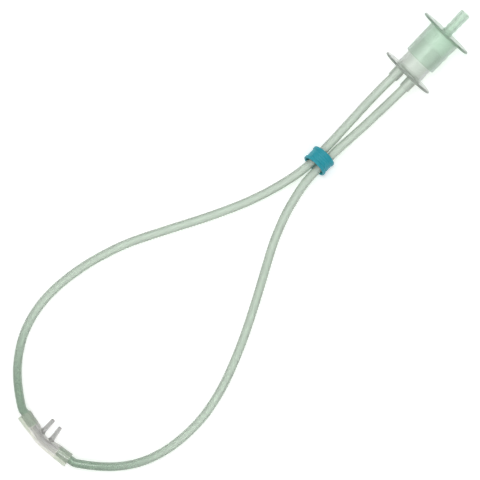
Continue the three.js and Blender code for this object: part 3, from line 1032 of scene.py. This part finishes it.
@dataclass
class NosePiece:
    """The clear soft nose piece: a bent body, a socket at each end and two prongs."""

    centre: tuple[float, float, float] = (-2.7, -264.8, 4.05)
    yaw: float = -2.0
    length: float = 34.0
    bend: float = 84.0
    middle_diameter: float = 6.3
    middle_shift: float = 1.05
    socket_diameter: float = 8.0
    shoulder_drop: float = 0.15
    seat_depth: float = 8.0
    seat_offset: float = 0.95
    seat_radius: float = 2.26
    lumen: float = 3.2
    prong_reach: float = 11.3
    prong_spacing: float = 6.7
    prong_root: float = 3.0
    prong_tip: float = 2.2
    prong_fillet: float = 1.1
    prong_bore: float = 1.2
    prong_lean: float = 6.5
    prong_converge: float = 3.5
    prong_raise: float = 4.0
    voxel: float = 0.16
    ease_share: float = 0.5
    ease_rounds: int = 12
    overrun: float = 1.0
    seat_overrun: float = 2.0
    # Where the painted shade round the gas passage ends, as a share of the passage's radius
    shade_edge: float = 0.75
    crease: float = 50.0

    def flare(self, s: np.ndarray) -> np.ndarray:
        """The share from the middle, 0, to the sockets, 1: a smooth step 3t^2 - 2t^3."""
        t = np.clip(np.abs(s) / (self.length / 2 - self.seat_depth), 0, 1)
        return 3 * t**2 - 2 * t**3

    def radius(self, s: np.ndarray) -> np.ndarray:
        """Body radius at a distance along the arc.

        Args:
            s: distances from the middle.

        Returns:
            The radius at each of them.
        """
        start = self.length / 2 - self.seat_depth
        middle = self.middle_diameter / 2
        shoulder = self.socket_diameter / 2 - self.shoulder_drop
        beyond = np.clip(np.abs(s) - start, 0, None) / self.seat_depth
        return middle + (shoulder - middle) * self.flare(s) + self.shoulder_drop * beyond

    def bent(self, form: Form) -> Form:
        """Bends a form that stands along Y into the level arc of radius R.

        A point (x, y, z) goes to ((R + x + c) sin(y / R), R - (R + x + c) cos(y / R), z), where c
        swings the middle outwards and dies away towards the sockets.

        Args:
            form: the straight form.

        Returns:
            The bent one.
        """
        angle = form.points[:, 1] / self.bend
        swing = self.middle_shift * (1 - self.flare(form.points[:, 1]))
        reach = self.bend + form.points[:, 0] + swing
        x, y = reach * np.sin(angle), self.bend - reach * np.cos(angle)
        points = np.stack([x, y, form.points[:, 2]], axis=-1)
        return Form(points, form.faces, form.lay).outward()

    def along(self, half: float, radius: np.ndarray | float, rows: int, sides: int) -> Form:
        """A bent round bar centred on the arc.

        Args:
            half: half its length.
            radius: its radius, or the radius of each row.
            rows: number of rows.
            sides: number of sides.

        Returns:
            The closed form.
        """
        s = np.linspace(-half, half, rows)
        ring = np.stack([np.broadcast_to(radius, s.shape), s], axis=-1)
        return self.bent(turned(np.vstack([[[0, -half]], ring, [[0, half]]]), even_angles(sides)))

    def prong_place(self, side: Side) -> Matrix:
        """Turn and shift of one prong from upright along Y to its place on the body.

        Args:
            side: which prong.

        Returns:
            The matrix.
        """
        lean = math.radians(self.prong_lean + side.value * self.prong_converge)
        return (
            Matrix.Translation((side.value * self.prong_spacing / 2, 0, 0))
            @ Matrix.Rotation(lean, 4, "Z")
            @ Matrix.Rotation(math.radians(self.prong_raise), 4, "X")
        )

    def prong(self, side: Side) -> Form:
        """One prong with a wide root and a round tip.

        Args:
            side: which prong.

        Returns:
            The closed form.
        """
        root, tip = self.prong_root / 2, self.prong_tip / 2
        start = self.middle_diameter / 2 - self.middle_shift
        flare = root + self.prong_fillet
        corners = [
            (0, 0, 0), (flare, 0, 0), (flare, start - 0.5, 0.4), (root, start + 0.5, 0.9),
            (tip, self.prong_reach, 0.55), (0, self.prong_reach, 0),
        ]
        form = turned(softened(corners, closed=False, step=0.3), even_angles(48))
        return form.moved(self.prong_place(side))

    def seat(self, side: Side) -> Form:
        """The cutter for one tube seat, straight, and set to the hollow side of the arc.

        Args:
            side: which socket.

        Returns:
            The closed form.
        """
        before, after = -self.seat_depth / 2, self.seat_depth / 2
        if side is Side.LEFT:
            before -= self.seat_overrun
        else:
            after += self.seat_overrun
        middle = side.value * (self.length - self.seat_depth) / 2 / self.bend
        reach = self.bend - self.seat_offset
        spot = Matrix.Translation((reach * math.sin(middle), self.bend - reach * math.cos(middle), 0))
        return rod(self.seat_radius, before, after).moved(spot @ Matrix.Rotation(middle - math.pi / 2, 4, "Z"))

    def paint_lumen_shade(self, shop: Workshop, piece: bpy.types.Object, place: Matrix) -> None:
        """Writes the `lay` that lays painted shade, a grey, on the walls round the gas passage, and leaves the
        rest clear.

        At a distance q inwards of the outer edge of the passage and s along the arc, the third
        number is the product of smooth steps of q over 0.7 mm and of |s| over 0.8 mm at the seats.

        Args:
            shop: what put the piece in its place.
            piece: the nose piece.
            place: its turn and shift in the set's own layout.
        """
        data = piece.data
        count = len(data.vertices)
        spots = np.empty(count * 3, dtype=np.float32)
        data.vertices.foreach_get("co", spots)
        own = (spots.reshape(-1, 3) - shop.shift) / MM
        back = np.array(place.inverted())
        own = own @ back[:3, :3].T + back[:3, 3]
        off = np.hypot(own[:, 0], self.bend - own[:, 1]) - self.bend
        s = np.arctan2(own[:, 0], self.bend - own[:, 1]) * self.bend
        edge = self.middle_shift * (1 - self.flare(s)) + self.shade_edge * self.lumen / 2
        q = np.clip((edge - off) / 0.7 + 0.5, 0, 1)
        t = np.clip((self.length / 2 - self.seat_depth + 0.4 - np.abs(s)) / 0.8, 0, 1)
        # Painted shade: grey in the middle of the body, inward of the passage's outer edge
        grey = (3 * q**2 - 2 * q**3) * (3 * t**2 - 2 * t**3)
        lay = np.stack([np.ones(count), np.zeros(count), grey], axis=-1)
        old = data.attributes.get("lay")
        if old:
            data.attributes.remove(old)
        layer = data.attributes.new("lay", "FLOAT_VECTOR", "POINT")
        layer.data.foreach_set("vector", lay.astype(np.float32).ravel())

    def build(self, shop: Workshop, finish: bpy.types.Material) -> bpy.types.Object:
        """Makes the nose piece: body and prongs melted together, then the bores and seats cut.

        Args:
            shop: where meshes are written.
            finish: the nose piece's material.

        Returns:
            The nose piece.
        """
        half = self.length / 2
        place = Matrix.Translation(self.centre) @ Matrix.Rotation(math.radians(self.yaw), 4, "Z")
        body = self.along(half, self.radius(np.linspace(-half, half, 90)), 90, 96)
        piece = shop.mesh("nose_piece_moulding", body.moved(place))
        for side in Side:
            shop.combine(piece, self.prong(side).moved(place), "UNION")
        melt = piece.modifiers.new("melt", "REMESH")
        melt.mode, melt.voxel_size, melt.use_smooth_shade = "VOXEL", self.voxel * MM, True
        ease = piece.modifiers.new("ease", "SMOOTH")
        ease.factor, ease.iterations = self.ease_share, self.ease_rounds
        shop.settle(piece)
        cutters = [self.along(half - self.seat_depth + self.overrun, self.lumen / 2, 40, 48)]
        for side in Side:
            bore = rod(self.prong_bore / 2, 0, self.prong_reach + self.overrun, sides=32)
            cutters += [bore.moved(self.prong_place(side)), self.seat(side)]
        for cutter in cutters:
            shop.combine(piece, cutter.moved(place), "DIFFERENCE")
        self.paint_lumen_shade(shop, piece, place)
        return shop.enter(piece, "nose_piece", Body.CANNULA, finish, self.crease)


# Table, light and camera


@dataclass(frozen=True)
class Lamp:
    """A square area light that faces the middle of the table, in metres and watts."""

    name: str
    spot: tuple[float, float, float]
    size: float
    power: float

    def build(self) -> bpy.types.Object:
        """Makes the light.

        Returns:
            The light.
        """
        data = bpy.data.lights.new(self.name, "AREA")
        data.size, data.energy = self.size, self.power
        lamp = bpy.data.objects.new(self.name, data)
        lamp.location = self.spot
        lamp.rotation_euler = Vector(self.spot).to_track_quat("Z", "Y").to_euler()
        bpy.context.scene.collection.objects.link(lamp)
        return lamp


@dataclass
class Studio:
    """A white table under soft light, and the camera at the photograph's viewing angle."""

    target: tuple[float, float, float] = (-1.924, -116.92, 0.0)
    distance: float = 1600.0
    tilt: float = 8.7
    roll: float = 45.8
    focal_pixels: float = 3083.0
    frame_pixels: float = 480.0
    sensor: float = 36.0
    table_half: float = 700.0
    table_glow: float = 0.32
    table_roughness: float = 0.9
    sky_strength: float = 0.55
    horizon: Colour = (0.25, 0.27, 0.26, 1)
    overhead: Colour = (1.0, 1.0, 1.0, 1)
    overhead_height: float = 0.8
    lamps: tuple[Lamp, ...] = (
        Lamp("key_soft", (-0.5, 0.3, 1.1), 0.9, 4.0),
        Lamp("fill_soft", (0.7, -0.4, 0.9), 0.9, 2.0),
        Lamp("glint", (-0.16, 0.3, 1.3), 0.2, 2.4),
    )

    def camera(self, shop: Workshop) -> bpy.types.Object:
        """Makes the camera: it looks down, tilted towards +Y, and is rolled about its view line.

        Args:
            shop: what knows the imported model's place.

        Returns:
            The camera.
        """
        data = bpy.data.cameras.new("camera")
        data.sensor_width = self.sensor
        data.lens = self.focal_pixels / self.frame_pixels * self.sensor
        data.clip_start, data.clip_end = 0.05, 10.0
        tilt, roll = math.radians(self.tilt), math.radians(self.roll)
        back = Vector((0, math.sin(tilt), math.cos(tilt)))
        level, rise = Vector((1, 0, 0)), Vector((0, math.cos(tilt), -math.sin(tilt)))
        right = math.sin(roll) * level + math.cos(roll) * rise
        up = -math.cos(roll) * level + math.sin(roll) * rise
        camera = bpy.data.objects.new("camera", data)
        spot = Vector(shop.place(np.array(self.target))) + back * self.distance * MM
        camera.matrix_world = Matrix.Translation(spot) @ Matrix((right, up, back)).transposed().to_4x4()
        bpy.context.scene.collection.objects.link(camera)
        bpy.context.scene.camera = camera
        return camera

    def sky(self) -> None:
        """Soft light from all round: bright overhead, and dim towards the horizon."""
        world = bpy.data.worlds.new("soft_sky")
        world.use_nodes = True
        tree = world.node_tree
        ground = tree.nodes["Background"]
        where = tree.nodes.new("ShaderNodeTexCoord")
        split = tree.nodes.new("ShaderNodeSeparateXYZ")
        ramp = tree.nodes.new("ShaderNodeValToRGB")
        low, high = ramp.color_ramp.elements
        low.position, low.color = 0.0, self.horizon
        high.position, high.color = self.overhead_height, self.overhead
        tree.links.new(where.outputs["Generated"], split.inputs[0])
        tree.links.new(split.outputs["Z"], ramp.inputs[0])
        tree.links.new(ramp.outputs[0], ground.inputs["Color"])
        ground.inputs["Strength"].default_value = self.sky_strength
        bpy.context.scene.world = world

    def table(self) -> bpy.types.Object:
        """Makes the white table top, a level sheet under the set.

        Returns:
            The table top.
        """
        half = self.table_half * MM
        data = bpy.data.meshes.new("table_top")
        corners = [(-half, -half, 0), (half, -half, 0), (half, half, 0), (-half, half, 0)]
        data.from_pydata(corners, [], [(0, 1, 2, 3)])
        top = bpy.data.objects.new("table_top", data)
        bpy.context.scene.collection.objects.link(top)
        g = Graph("table_white")
        where = g.add("ShaderNodeTexCoord").outputs["Object"]
        cloud = g.add("ShaderNodeTexNoise", Vector=where, Scale=9.0, Detail=2.0).outputs["Fac"]
        tone = g.blend(cloud, (0.93, 0.93, 0.93, 1), (0.96, 0.96, 0.96, 1))
        paint = g.add(
            "ShaderNodeBsdfPrincipled", Base_Color=tone, Roughness=self.table_roughness,
            Emission_Color=(1, 1, 1, 1), Emission_Strength=self.table_glow,
        )
        g.feed(g.output.inputs["Surface"], paint.outputs[0])
        data.materials.append(g.material)
        return top

    def build(self, shop: Workshop) -> None:
        """Sets up the table, lights, camera and plain colour handling.

        Args:
            shop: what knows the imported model's place.
        """
        self.camera(shop)
        self.table()
        for lamp in self.lamps:
            lamp.build()
        self.sky()
        bpy.context.scene.view_settings.view_transform = "Standard"


def main() -> None:
    """Builds the studio and every piece in order."""
    logging.basicConfig(level=logging.INFO, format="%(message)s")
    shop = Workshop()
    Studio().build(shop)
    vinyl = TUBE_FINISH.make()
    ring = SlideRing().build(shop, RingPlastic().make())
    built = [
        ring,
        Tube(Side.LEFT, LEFT_STOPS).build(shop, vinyl, [ring]),
        Tube(Side.RIGHT, RIGHT_STOPS).build(shop, vinyl, []),
        Connector().build(shop, CONNECTOR_FINISH.make()),
        HoseAdapter().build(shop, ADAPTER_FINISH.make()),
        NosePiece().build(shop, NOSE_FINISH.make()),
    ]
    for piece in built:
        piece.data.calc_loop_triangles()
        log.info("%s: %d triangles", piece.name, len(piece.data.loop_triangles))


if __name__ == "__main__":
    main()
